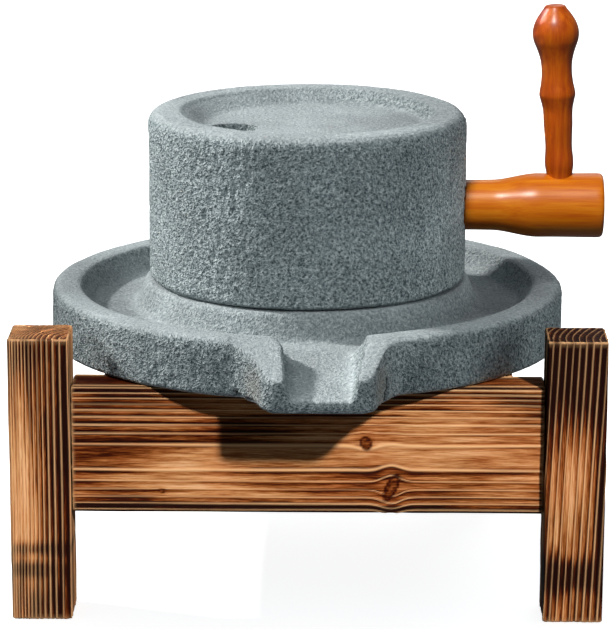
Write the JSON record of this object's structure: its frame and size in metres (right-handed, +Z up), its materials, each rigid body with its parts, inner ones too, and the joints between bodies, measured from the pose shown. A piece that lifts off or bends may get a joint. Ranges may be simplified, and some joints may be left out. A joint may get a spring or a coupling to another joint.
{
  "type": "rotary quern pair",
  "caption": "Household rotary quern: a stone runner with a wooden crank turns on a stone bed carved with a catch tray and pouring spout, set on a scorched pine stand.",
  "frame": {"origin": "middle of the object's footprint box, on the floor it stands on", "axes": "+Z up, -Y towards the pouring spout, +X towards the crank"},
  "size_m": [0.3636, 0.354, 0.3574],
  "materials": {
    "bluestone": "blue-grey stone, bush-hammered coarse on the sides and rubbed smoother on top",
    "varnished_wood": "turned hardwood under glossy orange-brown varnish",
    "scorched_pine": "torched and brushed pine, dark late-wood ridges with pale worn lines"
  },
  "bodies": {
    "base": {"front_left_post": "scorched_pine", "front_right_post": "scorched_pine", "back_left_leg": "scorched_pine", "back_right_leg": "scorched_pine", "front_rail": "scorched_pine", "back_rail": "scorched_pine", "left_side_rail": "scorched_pine", "right_side_rail": "scorched_pine", "bed_stone": "bluestone"},
    "runner": {"runner_stone": "bluestone", "crank_arm": "varnished_wood", "crank_grip": "varnished_wood"}
  },
  "joints": [
    {"name": "runner_turn", "type": "hinge", "parent": "base", "child": "runner", "pos_m": [-0.00458, 0.0155, 0.184], "axis": [0, 0, 1], "continuous": true}
  ]
}
